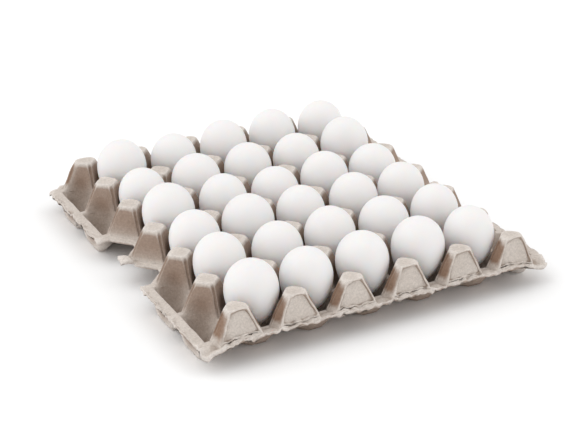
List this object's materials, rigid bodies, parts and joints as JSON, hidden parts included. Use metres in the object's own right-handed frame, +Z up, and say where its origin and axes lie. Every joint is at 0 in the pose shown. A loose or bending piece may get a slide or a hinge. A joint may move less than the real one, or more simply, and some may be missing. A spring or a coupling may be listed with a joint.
{
  "type": "egg tray with eggs",
  "caption": "Open moulded-pulp egg tray filled with white hens' eggs, with finger notches in its two sides.",
  "frame": {"origin": "on the ground under the middle of the tray", "axes": "+X across the tray's columns towards its right side, +Y along its rows towards its back edge, +Z up"},
  "size_m": [0.302, 0.311, 0.067],
  "materials": {
    "pulp": "matt recycled moulded pulp, fibrous",
    "eggshell": "smooth white eggshell with a faint sheen"
  },
  "bodies": {
    "root": {"tray": "pulp", "egg_1_1": "eggshell", "egg_1_2": "eggshell", "egg_1_3": "eggshell", "egg_1_4": "eggshell", "egg_1_5": "eggshell", "egg_2_1": "eggshell", "egg_2_2": "eggshell", "egg_2_3": "eggshell", "egg_2_4": "eggshell", "egg_2_5": "eggshell", "egg_3_1": "eggshell", "egg_3_2": "eggshell", "egg_3_3": "eggshell", "egg_3_4": "eggshell", "egg_3_5": "eggshell", "egg_4_1": "eggshell", "egg_4_2": "eggshell", "egg_4_3": "eggshell", "egg_4_4": "eggshell", "egg_4_5": "eggshell", "egg_5_1": "eggshell", "egg_5_2": "eggshell", "egg_5_3": "eggshell", "egg_5_4": "eggshell", "egg_5_5": "eggshell", "egg_6_1": "eggshell", "egg_6_2": "eggshell", "egg_6_3": "eggshell", "egg_6_4": "eggshell", "egg_6_5": "eggshell"}
  },
  "joints": []
}
